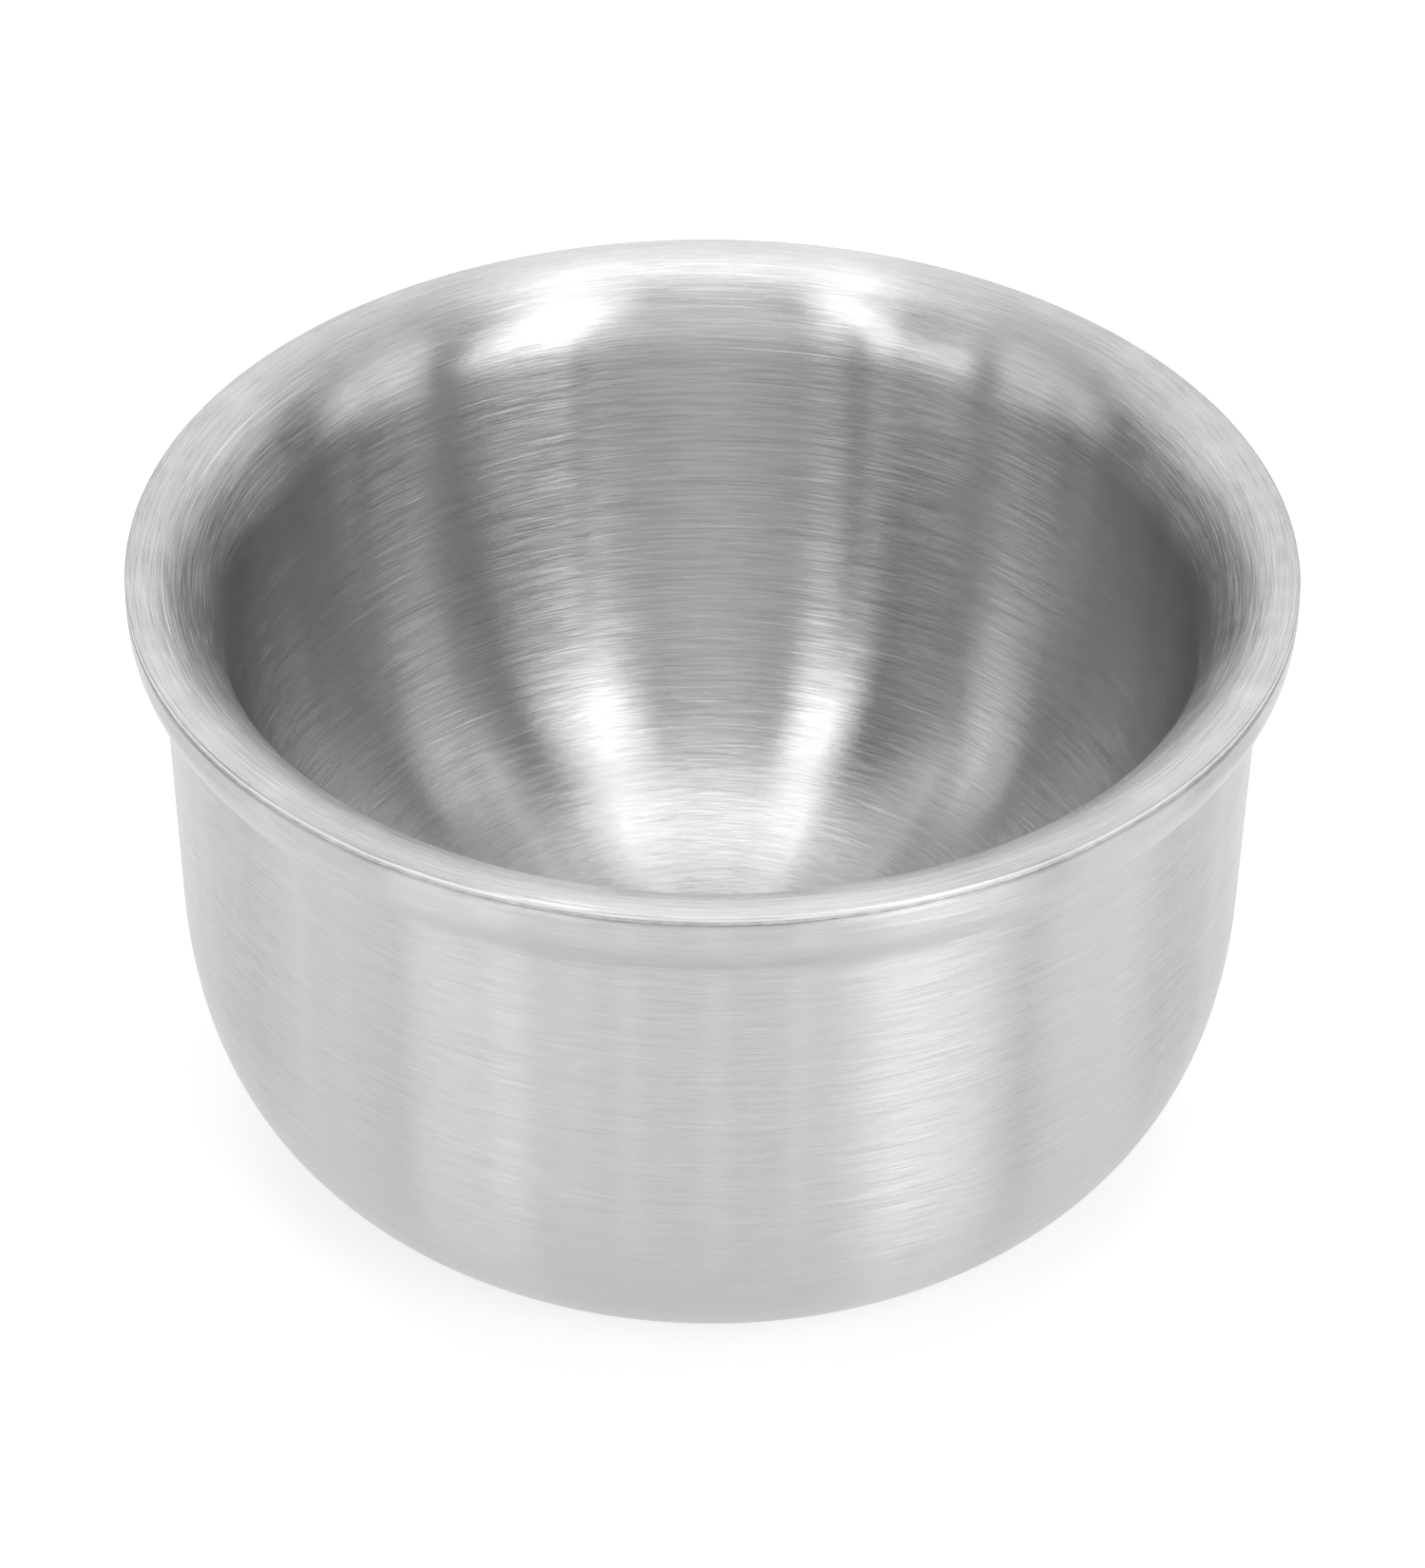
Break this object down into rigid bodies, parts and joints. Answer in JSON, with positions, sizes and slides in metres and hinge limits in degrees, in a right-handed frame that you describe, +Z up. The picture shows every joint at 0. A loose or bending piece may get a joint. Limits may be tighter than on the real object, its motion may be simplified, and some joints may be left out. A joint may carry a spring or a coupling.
{
  "type": "shaving bowl",
  "caption": "Double-walled round metal shaving bowl: a deep inner bowl with a rolled lip, welded at the rim to a rounded outer shell with a flared collar.",
  "frame": {"origin": "centre of the circle that the foot ring stands on", "axes": "+Z up along the bowl's axis of revolution, out of its mouth; X and Y lie in the surface it stands on"},
  "size_m": [0.1, 0.1, 0.057],
  "materials": {
    "inner_steel": "brushed around the axis, bright",
    "outer_steel": "brushed around the axis, satin",
    "weld_steel": "plain weld"
  },
  "bodies": {
    "root": {"inner_bowl": "inner_steel", "outer_shell": "outer_steel", "rim_weld": "weld_steel", "vent_seal": "weld_steel"}
  },
  "joints": []
}
